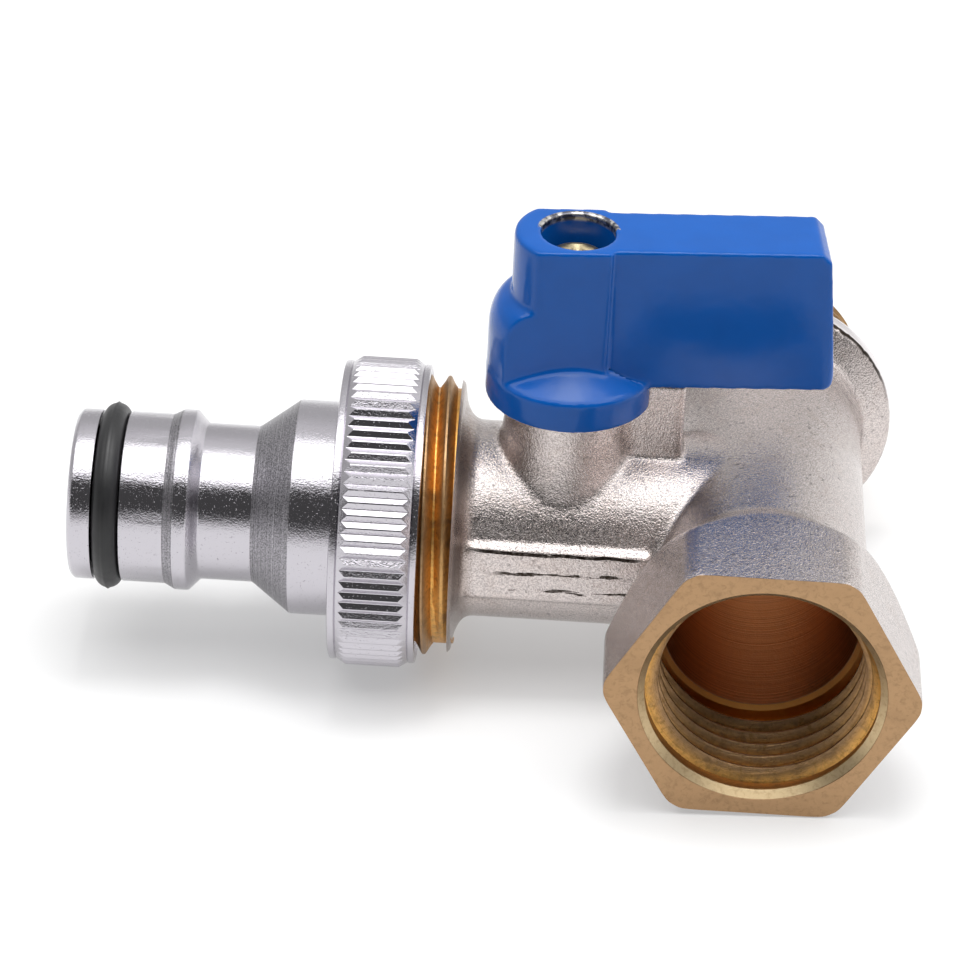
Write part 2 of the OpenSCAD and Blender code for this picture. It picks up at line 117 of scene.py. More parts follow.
class BodySizes(bpy.types.PropertyGroup):
    """Sizes of the forged body, in millimetres."""
    grid: length("Forging grid", "Grid of the mesh that blends the forged shapes", 0.3)
    plug_r: length("Plug radius", "Radius of the plugs that close the bores before the blend", 11.0)
    hex_af: length("Hexagon", "Width of the inlet hexagon across its flats", 25.3)
    hex_corner: length("Hexagon corner", "Rounding of the hexagon's forged corners", 1.9)
    mouth_r: length("Mouth radius", "Radius of the inlet's chamfer at the face", 11.15)
    mouth_l: length("Mouth depth", "Depth of the inlet's chamfer", 0.7)
    tap_r: length("Tapped radius", "Radius of the inlet's tapped bore", 10.5)
    tap_l: length("Tapped length", "Length of the inlet's tapped bore behind the chamfer", 10.2)
    relief_r: length("Relief radius", "Radius of the relief behind the inlet's thread", 10.75)
    ledge_y: length("Ledge", "Distance from the face to the ledge behind the thread", 11.6)
    ledge_edge: length("Ledge chamfer", "Chamfer where the ledge meets the inner bore", 0.45)
    bore_in_r: length("Inner bore", "Radius of the bore behind the ledge", 9.0)
    bore_out_r: length("Outlet bore", "Radius of the bore at the outlet", 7.25)
    collar_back_y: length("Collar back", "Place of the collar's rear face along the run", 49.6)
    shoulder_u: length("Shoulder", "Distance from the stem to the shoulder of the branch thread", 10.0)


class ThreadSizes(bpy.types.PropertyGroup):
    """Sizes of the pipe threads, in millimetres."""
    pitch: length("Pitch", "Pitch of the pipe threads", 1.814)
    depth: length("Depth", "Depth of the pipe threads", 1.16)
    run_r: length("Run thread", "Outer radius of the inlet and outlet threads", 10.48)
    branch_r: length("Branch thread", "Outer radius of the branch thread", 13.22)


class ConnectorSizes(bpy.types.PropertyGroup):
    """Sizes of the union nut and the nipple, in millimetres."""
    knurl_r: length("Knurl", "Radius over the nut's knurl", 14.6)
    knurl_depth: length("Knurl depth", "Depth of a groove between two teeth", 0.31)
    bevel_w: length("Knurl bevel", "Width of the bevel that ends the teeth", 0.87)
    cone_u: length("Cone start", "Distance from the stem to the thick end of the nipple's cone", 25.1)
    neck_u: length("Cone end", "Distance from the stem to the thin end of the cone", 28.8)
    ramp_u: length("Ramp start", "Distance from the stem to the ramp behind the ridge", 36.05)
    barrel_u: length("Ramp end", "Distance from the stem to the barrel behind the ramp", 37.0)
    rim_r: length("Nut rim", "Radius of the nut's plain rims", 14.15)
    open_rim: length("Open rim", "Width of the rim on the open side", 0.68)
    lip_rim: length("Lip rim", "Width of the rim on the nipple side", 0.74)
    teeth: bpy.props.IntProperty(name="Teeth", description="Teeth round the nut", default=78, min=12, max=120)


class Colours(bpy.types.PropertyGroup):
    """Colours of the finishes; the ledge, bore and valley brasses are painted lighter to stand in for light."""
    nickel: colour("Nickel", "Satin nickel plating", (0.62, 0.56, 0.54))
    brass: colour("Brass", "Bare machined brass", (0.42, 0.262, 0.14))
    bright_brass: colour("Bright brass", "Freshly cut brass at the inlet's mouth", (0.66, 0.51, 0.3))
    # Painted light: a far brighter brass for the relief and ledge behind the inlet's thread, standing in for the
    # light and highlights in that recess.
    lit_ledge_brass: colour("Ledge brass", "Brass of the relief and ledge behind the inlet's thread",
                        (1.0, 0.56, 0.18))
    # Painted light: the bore's brass is lighter than the face's, to make up for the shade deep in the bore.
    bore: colour("Bore", "Turned brass deep in the bore", (0.66, 0.38, 0.21))
    # Painted light: the thread valleys get a lighter, more orange brass; the orange is partly the brass's own
    # tone, the lightness is painted light.
    lit_valley_brass: colour("Deep brass", "Brass in the valleys of the threads", (0.74, 0.40, 0.11))
    chrome: colour("Chrome", "Chrome plating", (0.56, 0.54, 0.58))
    paint: colour("Paint", "Blue paint of the handle", (0.001, 0.08, 0.355))
    rubber: colour("Rubber", "Black rubber", (0.012, 0.012, 0.013))
    seat: colour("Seats", "Low-friction plastic of the seats", (0.85, 0.85, 0.82))


class StageSizes(bpy.types.PropertyGroup):
    """Camera and light, in millimetres and degrees."""
    camera: bpy.props.FloatVectorProperty(
        name="Camera", description="Place of the camera", default=(-18.85, -296.43, 205.08), size=3)
    yaw: bpy.props.FloatProperty(name="Yaw", description="Camera's turn about Z, degrees", default=1.382)
    pitch: bpy.props.FloatProperty(name="Pitch", description="Camera's look down, degrees", default=31.894)
    roll: bpy.props.FloatProperty(name="Roll", description="Camera's roll, degrees", default=2.771)
    lens: bpy.props.FloatProperty(name="Lens", description="Focal length on a 36 mm sensor", default=151.67)
    softbox_z: length("Softbox height", "Height of the softbox above the valve", 500)
    softbox_w: length("Softbox width", "Width of the softbox along X", 900)
    softbox_power: bpy.props.FloatProperty(name="Softbox power", description="Watts", default=2.4)
    core_w: length("Core width", "Width of the softbox's bright core along X", 180)
    core_power: bpy.props.FloatProperty(name="Core power", description="Watts of the core", default=0.9)


SETTINGS = {
    "valve_body_sizes": BodySizes,
    "valve_thread_sizes": ThreadSizes,
    "valve_connector_sizes": ConnectorSizes,
    "valve_colours": Colours,
    "valve_stage_sizes": StageSizes,
}


def settings(name):
    return getattr(bpy.context.scene, name)


# Mesh helpers. A mesh is modelled in millimetres and becomes a piece in metres.

def add_lathe(bm, outline, place, steps=128, closed=True):
    """Spins an outline of (place along the axis, radius) points round an axis and returns its vertices."""
    before = set(bm.verts)
    verts = [bm.verts.new((radius, 0, along)) for along, radius in outline]
    ends = zip(verts, verts[1:] + verts[:1]) if closed else zip(verts, verts[1:])
    edges = [bm.edges.new(pair) for pair in ends]
    bmesh.ops.spin(bm, geom=verts + edges, cent=(0, 0, 0), axis=(0, 0, 1), dvec=(0, 0, 0),
                   angle=TURN, steps=steps, use_merge=True)
    made = [v for v in bm.verts if v not in before]
    bmesh.ops.remove_doubles(bm, verts=made, dist=1e-4)
    made = [v for v in bm.verts if v not in before]
    bmesh.ops.transform(bm, matrix=place, verts=made)
    return made


def add_copy(bm, node):
    """Adds a CAD node's mesh, merged and in millimetres, to a bmesh."""
    before = set(bm.verts)
    bm.from_mesh(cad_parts[node].data)
    made = [v for v in bm.verts if v not in before]
    bmesh.ops.scale(bm, vec=(1 / MM,) * 3, verts=made)
    bmesh.ops.remove_doubles(bm, verts=made, dist=1e-4)


def add_rod(bm, radius, start, end, place, steps=96):
    """Adds a closed cylinder from start to end along a placed axis."""
    return add_lathe(bm, [(start, 0), (start, radius), (end, radius), (end, 0)], place, steps, closed=False)


def round_edges(bm, width, segments=3, sharp=math.radians(28), keep=None):
    """Bevels every sharp edge, or only those that keep() accepts."""
    edges = [e for e in bm.edges if len(e.link_faces) == 2 and e.calc_face_angle(0) > sharp
             and (keep is None or keep(e))]
    bmesh.ops.bevel(bm, geom=edges, offset=width, offset_type="OFFSET", segments=segments,
                    profile=0.5, affect="EDGES", clamp_overlap=True, material=-1)


def make_piece(name, bm, body, material, stands_for=(), sharp=35):
    """Turns a bmesh in millimetres into a finished piece that rides on a body."""
    bmesh.ops.recalc_face_normals(bm, faces=bm.faces)
    return finish_piece(mesh_object(name, bm), body, material, stands_for, sharp)


def mesh_object(name, bm, scale=MM):
    bmesh.ops.scale(bm, vec=(scale,) * 3, verts=bm.verts)
    mesh = bpy.data.meshes.new(name)
    bm.to_mesh(mesh)
    bm.free()
    piece = bpy.data.objects.new(name, mesh)
    bpy.context.scene.collection.objects.link(piece)
    return piece


def finish_piece(piece, body, material, stands_for=(), sharp=35):
    piece.data.shade_smooth()
    piece.data.set_sharp_from_angle(angle=math.radians(sharp))
    piece.data.materials.clear()
    piece.data.materials.append(material)
    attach(piece, body)
    if stands_for:
        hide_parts(*stands_for)
    return piece


def apply_modifiers(piece):
    """Keeps a piece's modifiers' result as its own mesh."""
    depsgraph = bpy.context.evaluated_depsgraph_get()
    mesh = bpy.data.meshes.new_from_object(piece.evaluated_get(depsgraph))
    piece.modifiers.clear()
    piece.data = mesh


def blend_shapes(piece, grid, rounds, factor=0.5):
    """Fuses overlapping shells on a grid and relaxes them, as a forging's or casting's blends are."""
    remesh = piece.modifiers.new("Blend", "REMESH")
    remesh.mode = "VOXEL"
    remesh.voxel_size = grid * MM
    apply_modifiers(piece)
    bm = bmesh.new()
    bm.from_mesh(piece.data)
    for _ in range(rounds):
        bmesh.ops.smooth_vert(bm, verts=bm.verts, factor=factor, use_axis_x=True, use_axis_y=True,
                              use_axis_z=True)
    bm.to_mesh(piece.data)
    bm.free()


def cut_away(piece, bm):
    """Machines a piece with a closed tool shape."""
    bmesh.ops.recalc_face_normals(bm, faces=bm.faces)
    tool = mesh_object("tool", bm)
    cut = piece.modifiers.new("Cut", "BOOLEAN")
    cut.operation = "DIFFERENCE"
    cut.solver = "EXACT"
    cut.object = tool
    bpy.context.view_layer.update()
    apply_modifiers(piece)
    bpy.data.objects.remove(tool)


def add_thread(bm, place, start, turns, root_r, depth, pitch, inward=False, steps=96, phase=0.0,
               chamfer=None):
    """Adds one helical ridge with a rounded crest; its ends run out into the core.
    inward is for a thread in a hole, where the ridge points to the axis. chamfer gives the largest
    radius at a place along the axis, where the chamfer of the end cuts the ridge down."""
    side = -1 if inward else 1
    sunk = 0.25
    half = pitch * 0.46
    profile = [(-half, -sunk), (-half, 0), (-0.24 * pitch, depth * 0.52), (-0.11 * pitch, depth * 0.9),
               (-0.05 * pitch, depth), (0.05 * pitch, depth), (0.11 * pitch, depth * 0.9),
               (0.24 * pitch, depth * 0.52), (half, 0), (half, -sunk)]
    before = set(bm.verts)
    verts = [bm.verts.new((root_r + side * rise, 0, start + along)) for along, rise in profile]
    edges = [bm.edges.new(pair) for pair in zip(verts, verts[1:] + verts[:1])]
    cap = bm.faces.new(verts)
    count = int(round(steps * turns))
    bmesh.ops.spin(bm, geom=verts + edges + [cap], cent=(0, 0, 0), axis=(0, 0, 1),
                   dvec=(0, 0, pitch / steps), angle=TURN * turns, steps=count, use_merge=False)
    made = [v for v in bm.verts if v not in before]
    run_out = 0.35
    for v in made:
        radius = math.hypot(v.co.x, v.co.y)
        rise = side * (radius - root_r)
        wanted = radius
        if rise > 0:
            angle = math.atan2(v.co.y, v.co.x) % TURN
            turn = ((v.co.z - start) / pitch - angle / TURN)
            turn = round(turn) + angle / TURN
            ease = min(1.0, max(0.0, turn / run_out), max(0.0, (turns - turn) / run_out))
            wanted = root_r + side * (rise * ease - sunk * (1 - ease))
        if chamfer:
            wanted = min(wanted, chamfer(v.co.z))
        v.co.x *= wanted / radius
        v.co.y *= wanted / radius
    bmesh.ops.transform(bm, matrix=place @ Matrix.Rotation(phase, 4, "Z"), verts=made)
    return made


# Node groups for the finishes. Patterns read Object coordinates, in metres.

def new_group(name, inputs, outputs):
    group = bpy.data.node_groups.new(name, "ShaderNodeTree")
    for kind, socket, default in inputs:
        item = group.interface.new_socket(socket, in_out="INPUT", socket_type=kind)
        if default is not None:
            item.default_value = default
    for kind, socket in outputs:
        group.interface.new_socket(socket, in_out="OUTPUT", socket_type=kind)
    return group, group.nodes.new("NodeGroupInput"), group.nodes.new("NodeGroupOutput")


def node(tree, kind, values=(), **attributes):
    """Adds a node, sets its attributes and its inputs; an input's value may be another node's output."""
    made = tree.nodes.new(kind)
    for key, value in attributes.items():
        setattr(made, key, value)
    for key, value in dict(values).items():
        if isinstance(value, bpy.types.NodeSocket):
            tree.links.new(value, made.inputs[key])
        else:
            made.inputs[key].default_value = value
    return made


def math_node(tree, operation, a, b=0.0, c=0.0):
    return node(tree, "ShaderNodeMath", {0: a, 1: b, 2: c}, operation=operation).outputs[0]


def spread(tree, value, low, high, to_low=0.0, to_high=1.0):
    """Maps value from low..high to to_low..to_high, smoothly and clamped."""
    return node(tree, "ShaderNodeMapRange", {"Value": value, "From Min": low, "From Max": high,
                                             "To Min": to_low, "To Max": to_high},
                interpolation_type="SMOOTHSTEP").outputs["Result"]


def mixed(tree, factor, a, b):
    """Mixes two colours."""
    made = node(tree, "ShaderNodeMix", {"Factor": factor}, data_type="RGBA")
    for socket, value in ((made.inputs[6], a), (made.inputs[7], b)):
        if isinstance(value, bpy.types.NodeSocket):
            tree.links.new(value, socket)
        else:
            socket.default_value = (*value, 1) if len(value) == 3 else value
    return made.outputs[2]


def noise(tree, vector, scale, detail=2.0, roughness=0.5, dimensions="3D", distortion=0.0):
    return node(tree, "ShaderNodeTexNoise",
                {"Vector": vector, "Scale": scale, "Detail": detail, "Roughness": roughness,
                 "Distortion": distortion}, noise_dimensions=dimensions).outputs["Fac"]


def grain_group():
    """Fine forged or blasted grain: a height and a mask of darker pits."""
    group, entry, leave = new_group(
        "Grain", [("NodeSocketVector", "Vector", None), ("NodeSocketFloat", "Size", 0.0004),
                  ("NodeSocketFloat", "Pits", 0.3)],
        [("NodeSocketFloat", "Height"), ("NodeSocketFloat", "Dark"), ("NodeSocketFloat", "Specks")])
    scale = math_node(group, "DIVIDE", 1.0, entry.outputs["Size"])
    fine = noise(group, entry.outputs["Vector"], scale, 3.0, 0.6)
    coarse = noise(group, entry.outputs["Vector"], math_node(group, "MULTIPLY", scale, 0.31), 2.0, 0.5)
    height = math_node(group, "MULTIPLY_ADD", fine, 0.65, math_node(group, "MULTIPLY", coarse, 0.35))
    pit = spread(group, coarse, 0.62, 0.72)
    group.links.new(height, leave.inputs["Height"])
    group.links.new(math_node(group, "MULTIPLY", pit, entry.outputs["Pits"]), leave.inputs["Dark"])
    specks = noise(group, entry.outputs["Vector"], math_node(group, "MULTIPLY", scale, 1.3), 1.0)
    group.links.new(spread(group, specks, 0.36, 0.64), leave.inputs["Specks"])
    return group


def turning_group():
    """Fine lines that a lathe tool leaves round an axis: height and mask, from the place along the axis."""
    group, entry, leave = new_group(
        "Turning lines", [("NodeSocketFloat", "Along", 0.0), ("NodeSocketVector", "Vector", None),
                          ("NodeSocketFloat", "Spacing", 0.00012), ("NodeSocketFloat", "Wander", 0.1)],
        [("NodeSocketFloat", "Height"), ("NodeSocketFloat", "Line")])
    scale = math_node(group, "DIVIDE", 1.0, entry.outputs["Spacing"])
    wobble = noise(group, entry.outputs["Vector"], 90.0, 1.0)
    shifted = math_node(group, "MULTIPLY_ADD", wobble, math_node(
        group, "MULTIPLY", entry.outputs["Wander"], entry.outputs["Spacing"]), entry.outputs["Along"])
    point = node(group, "ShaderNodeCombineXYZ", {"X": shifted}).outputs[0]
    lines = noise(group, point, scale, 2.5, 0.7)
    group.links.new(lines, leave.inputs["Height"])
    group.links.new(spread(group, lines, 0.42, 0.66), leave.inputs["Line"])
    return group


def stain_group():
    """Soft patches of tarnish or handling marks."""
    group, entry, leave = new_group(
        "Stains", [("NodeSocketVector", "Vector", None), ("NodeSocketFloat", "Size", 0.004),
                   ("NodeSocketFloat", "Amount", 0.3)], [("NodeSocketFloat", "Mask")])
    scale = math_node(group, "DIVIDE", 1.0, entry.outputs["Size"])
    cloud = noise(group, entry.outputs["Vector"], scale, 4.0, 0.6, distortion=0.6)
    mask = math_node(group, "MULTIPLY", spread(group, cloud, 0.45, 0.72), entry.outputs["Amount"])
    group.links.new(mask, leave.inputs["Mask"])
    return group


GROUPS = {}


def use_group(tree, name, values):
    builders = {"Grain": grain_group, "Turning lines": turning_group, "Stains": stain_group}
    if name not in GROUPS:
        GROUPS[name] = builders[name]()
    made = tree.nodes.new("ShaderNodeGroup")
    made.node_tree = GROUPS[name]
    for key, value in values.items():
        if isinstance(value, bpy.types.NodeSocket):
            tree.links.new(value, made.inputs[key])
        else:
            made.inputs[key].default_value = value
    return made


def new_material(name, **shader_values):
    """A material with a Principled shader; returns the material, its tree, the shader and Object coordinates."""
    material = bpy.data.materials.new(name)
    material.use_nodes = True
    tree = material.node_tree
    shader = tree.nodes["Principled BSDF"]
    for key, value in shader_values.items():
        shader.inputs[key.replace("_", " ")].default_value = value
    place = tree.nodes.new("ShaderNodeTexCoord").outputs["Object"]
    return material, tree, shader, place


def bump(tree, shader, height, distance, strength=1.0):
    made = node(tree, "ShaderNodeBump", {"Height": height, "Distance": distance, "Strength": strength})
    tree.links.new(made.outputs[0], shader.inputs["Normal"])


def radius_from(tree, place, axis, centre):
    """Distance from a line along axis through centre, in metres, and the place along it."""
    moved = node(tree, "ShaderNodeVectorMath", {0: place, 1: [-MM * c for c in centre]},
                 operation="ADD").outputs[0]
    flat = [0.0 if letter == axis else 1.0 for letter in "XYZ"]
    squashed = node(tree, "ShaderNodeVectorMath", {0: moved, 1: flat}, operation="MULTIPLY").outputs[0]
    far = node(tree, "ShaderNodeVectorMath", {0: squashed}, operation="LENGTH").outputs["Value"]
    along = node(tree, "ShaderNodeSeparateXYZ", {0: moved}).outputs[axis]
    return far, along


def body_material():
    """Satin nickel over a forged grain, with laps on the pad and a painted highlight on the collar's rim, and
    bare brass where the inlet is machined, painted lighter in the relief and the bore to stand in for light.
    """
    colours, sizes = settings("valve_colours"), settings("valve_body_sizes")
    material, tree, shader, place = new_material("Nickel and brass", Metallic=1.0)
    far, along = radius_from(tree, place, "Y", (0, 0, 0))
    ledge_y = FACE_Y + sizes.ledge_y
    face = math_node(tree, "LESS_THAN", along, (FACE_Y + 0.06) * MM)
    in_tap = math_node(tree, "MULTIPLY", math_node(tree, "LESS_THAN", far, (sizes.mouth_r + 0.05) * MM),
                       math_node(tree, "LESS_THAN", along, (ledge_y + sizes.ledge_edge) * MM))
    in_bore = math_node(tree, "LESS_THAN", far, (sizes.bore_in_r + 0.06) * MM)
    bare = math_node(tree, "MAXIMUM", face, math_node(tree, "MAXIMUM", in_tap, in_bore))
    grain = use_group(tree, "Grain", {"Vector": place, "Size": 0.00017, "Pits": 0.6})
    stain = use_group(tree, "Stains", {"Vector": place, "Size": 0.0022, "Amount": 0.3})
    fleck = use_group(tree, "Stains", {"Vector": place, "Size": 0.0005, "Amount": 0.5})
    lines = use_group(tree, "Turning lines", {"Along": along, "Vector": place, "Spacing": 0.00022,
                                              "Wander": 0.6})
    laps = lap_marks(tree, place, fleck.outputs["Mask"])
    jagged = math_node(tree, "MULTIPLY_ADD", noise(tree, place, 1100.0, 3.0), 0.5 * MM, along)
    rim_y = (sizes.collar_back_y - 2.1) * MM
    # The collar's rear band: machined smooth, and painted a lighter nickel below as a highlight.
    collar = math_node(tree, "GREATER_THAN", far, 12.2 * MM)
    rim = math_node(tree, "MULTIPLY", collar, math_node(tree, "GREATER_THAN", along, rim_y))
    seam = spread(tree, math_node(tree, "ABSOLUTE", math_node(tree, "SUBTRACT", jagged, rim_y + 0.2 * MM)),
                  0.1 * MM, 0.26 * MM, 1.0, 0.0)
    above = node(tree, "ShaderNodeSeparateXYZ", {0: place}).outputs["Z"]
    seam = math_node(tree, "MULTIPLY", math_node(tree, "MULTIPLY", seam, collar), spread(
        tree, above, 2 * MM, 7 * MM))

    brass = mixed(tree, stain.outputs["Mask"], tuple(colours.brass), tuple(0.72 * c for c in colours.brass))
    brass = mixed(tree, fleck.outputs["Mask"], brass, tuple(0.6 * c for c in colours.brass))
    # Painted light: the bore's lighter brass, with its turning lines, stands in for light reaching deep into the
    # bore.
    bore = mixed(tree, lines.outputs["Line"], tuple(colours.bore), tuple(0.7 * c for c in colours.bore))
    mouth = math_node(tree, "MULTIPLY", math_node(tree, "LESS_THAN", along, (
        FACE_Y + sizes.mouth_l + 0.15) * MM), math_node(tree, "SUBTRACT", in_tap, face))
    fresh = mixed(tree, fleck.outputs["Mask"], tuple(colours.bright_brass), tuple(colours.brass))
    brass = mixed(tree, mouth, brass, fresh)
    # Painted light: the relief and ledge behind the thread are painted the brighter brass.
    brass = mixed(tree, spread(tree, along, (ledge_y - 1.3) * MM, (ledge_y - 0.9) * MM), brass,
                  tuple(colours.lit_ledge_brass))
    brass = mixed(tree, in_bore, brass, bore)
    nickel = mixed(tree, grain.outputs["Specks"], tuple(0.8 * c for c in colours.nickel),
                   tuple(1.16 * c for c in colours.nickel))
    nickel = mixed(tree, grain.outputs["Dark"], nickel, tuple(0.4 * c for c in colours.nickel))
    nickel = mixed(tree, math_node(tree, "MULTIPLY", stain.outputs["Mask"], 0.3), nickel,
                   (0.31, 0.14, 0.04))
    shoulder = spread(tree, node(tree, "ShaderNodeSeparateXYZ", {0: place}).outputs["X"],
                      (STEM_X - 9.2) * MM, (STEM_X - 7.6) * MM, 0.6, 0.0)
    nickel = mixed(tree, shoulder, nickel, (0.26, 0.19, 0.15))
    # Painted highlight: the collar's rear rim is painted a lighter nickel, partly its smooth machined band,
    # partly the bright line of light along it.
    nickel = mixed(tree, rim, nickel, (0.8, 0.76, 0.77))
    nickel = mixed(tree, math_node(tree, "MAXIMUM", laps, seam), nickel, (0.03, 0.022, 0.016))
    tree.links.new(mixed(tree, bare, nickel, brass), shader.inputs["Base Color"])
    rough = math_node(tree, "MULTIPLY_ADD", bare, 0.2, math_node(
        tree, "MULTIPLY_ADD", grain.outputs["Height"], 0.12, 0.1))
    tree.links.new(rough, shader.inputs["Roughness"])
    quiet = math_node(tree, "SUBTRACT", 1.0, math_node(tree, "MULTIPLY", math_node(
        tree, "MAXIMUM", bare, rim), 0.85))
    height = math_node(tree, "MULTIPLY_ADD", grain.outputs["Height"], quiet, math_node(
        tree, "MULTIPLY", laps, -0.8))
    height = math_node(tree, "MULTIPLY_ADD", math_node(tree, "MULTIPLY", lines.outputs["Height"], in_bore),
                       0.3, height)
    bump(tree, shader, height, 0.00011, 1.0)
    return material


def lap_marks(tree, place, broken):
    """Mask of the dark laps that the forging left along the branch's flat pad."""
    split = node(tree, "ShaderNodeSeparateXYZ", {0: place}).outputs
    waver = noise(tree, place, 260.0, 2.0)
    level = math_node(tree, "MULTIPLY_ADD", waver, 0.0006, split["Z"])
    stretched = node(tree, "ShaderNodeVectorMath", {0: place, 1: (0.35, 1.0, 2.2)},
                     operation="MULTIPLY").outputs[0]
    gaps = noise(tree, stretched, 900.0, 3.0, 0.65)
    front = math_node(tree, "MULTIPLY", math_node(tree, "LESS_THAN", split["Y"], (BRANCH_Y - 9.2) * MM),
                      math_node(tree, "GREATER_THAN", split["Y"], (BRANCH_Y - 12.5) * MM))
    marks = 0.0
    for height, width, start, end, least in PAD_LAPS:
        off = math_node(tree, "ABSOLUTE", math_node(tree, "SUBTRACT", level, (height + 0.3) * MM))
        reach = spread(tree, gaps, least, least + 0.22, 0.0, width * MM)
        line = spread(tree, math_node(tree, "SUBTRACT", off, reach), -0.06 * MM, 0.0, 1.0, 0.0)
        held = math_node(tree, "MULTIPLY", spread(tree, split["X"], start * MM, (start + 2) * MM),
                         spread(tree, split["X"], (end - 1) * MM, end * MM, 1.0, 0.0))
        line = math_node(tree, "MULTIPLY", line, held)
        marks = math_node(tree, "MAXIMUM", marks, line)
    return math_node(tree, "MULTIPLY", marks, math_node(tree, "MULTIPLY", front, math_node(
        tree, "SUBTRACT", 1.0, math_node(tree, "MULTIPLY", broken, 0.5))))


def brass_material(name, axis, centre, valley_r, crest_r):
    """Bare turned brass, lighter and more orange near valley_r than at crest_r: a painted light in the thread
    valleys, whose orange is partly the brass's own tone.
    """
    colours = settings("valve_colours")
    material, tree, shader, place = new_material(name, Metallic=1.0)
    far, along = radius_from(tree, place, axis, centre)
    lines = use_group(tree, "Turning lines", {"Along": along, "Vector": place, "Spacing": 0.00013,
                                              "Wander": 0.8})
    stain = use_group(tree, "Stains", {"Vector": place, "Size": 0.0016, "Amount": 0.65})
    fleck = use_group(tree, "Stains", {"Vector": place, "Size": 0.0004, "Amount": 0.5})
    # Painted light: the valleys get the lighter, more orange valley brass.
    low = spread(tree, far, valley_r * MM, crest_r * MM, 1.0, 0.0)
    tone = mixed(tree, low, tuple(colours.brass), tuple(colours.lit_valley_brass))
    grain = use_group(tree, "Grain", {"Vector": place, "Size": 0.0002, "Pits": 0.6})
    tone = mixed(tree, stain.outputs["Mask"], tone, tuple(0.6 * c for c in colours.brass))
    dark = math_node(tree, "MAXIMUM", fleck.outputs["Mask"], grain.outputs["Dark"])
    tone = mixed(tree, dark, tone, tuple(0.35 * c for c in colours.lit_valley_brass))
    tree.links.new(tone, shader.inputs["Base Color"])
    tree.links.new(spread(tree, lines.outputs["Line"], 0.0, 1.0, 0.38, 0.55), shader.inputs["Roughness"])
    height = math_node(tree, "MULTIPLY_ADD", grain.outputs["Height"], 1.2, math_node(
        tree, "MULTIPLY_ADD", fleck.outputs["Mask"], -0.6, lines.outputs["Height"]))
    bump(tree, shader, height, 0.00005, 0.9)
    return material


def chrome_material(name, zones, roughness):
    """Chrome over a turned surface: an orange-peel ripple and fine lines round the branch axis.
    Between the two places of each zone, millimetres from the stem, the turned surface is rough."""
    colours = settings("valve_colours")
    material, tree, shader, place = new_material(name, Metallic=1.0)
    along = math_node(tree, "MULTIPLY", radius_from(tree, place, "X", (STEM_X, BRANCH_Y, 0))[1], -1.0)
    rough = 0.0
    for start, end in zones:
        inside = math_node(tree, "MULTIPLY", math_node(tree, "GREATER_THAN", along, start * MM),
                           math_node(tree, "LESS_THAN", along, end * MM))
        rough = math_node(tree, "MAXIMUM", rough, inside)
    fine = use_group(tree, "Turning lines", {"Along": along, "Vector": place, "Spacing": 0.00006})
    broad = use_group(tree, "Turning lines", {"Along": along, "Vector": place, "Spacing": 0.00016,
                                              "Wander": 1.2})
    peel = use_group(tree, "Grain", {"Vector": place, "Size": 0.00016, "Pits": 0.0})
    pits = spread(tree, noise(tree, place, 6500.0, 1.0), 0.7, 0.8)
    speck = noise(tree, place, 8500.0, 2.0, 0.6)
    speck = spread(tree, math_node(tree, "MULTIPLY_ADD", broad.outputs["Height"], 0.8, speck), 0.6, 1.2)
    tone = mixed(tree, speck, tuple(0.16 * c for c in colours.chrome), tuple(0.9 * c for c in colours.chrome))
    tree.links.new(mixed(tree, rough, tuple(colours.chrome), tone), shader.inputs["Base Color"])
    tree.links.new(spread(tree, rough, 0.0, 1.0, roughness, 0.3), shader.inputs["Roughness"])
    smooth_height = math_node(tree, "MULTIPLY_ADD", peel.outputs["Height"], 1.6, math_node(
        tree, "MULTIPLY_ADD", pits, -2.0, math_node(tree, "MULTIPLY", fine.outputs["Height"], 0.15)))
    rough_height = math_node(tree, "MULTIPLY_ADD", peel.outputs["Height"], 2.6, math_node(
        tree, "MULTIPLY", broad.outputs["Height"], 2.2))
    height = math_node(tree, "MULTIPLY_ADD", rough, math_node(
        tree, "SUBTRACT", rough_height, smooth_height), smooth_height)
    bump(tree, shader, height, 0.00003, 0.8)
    return material


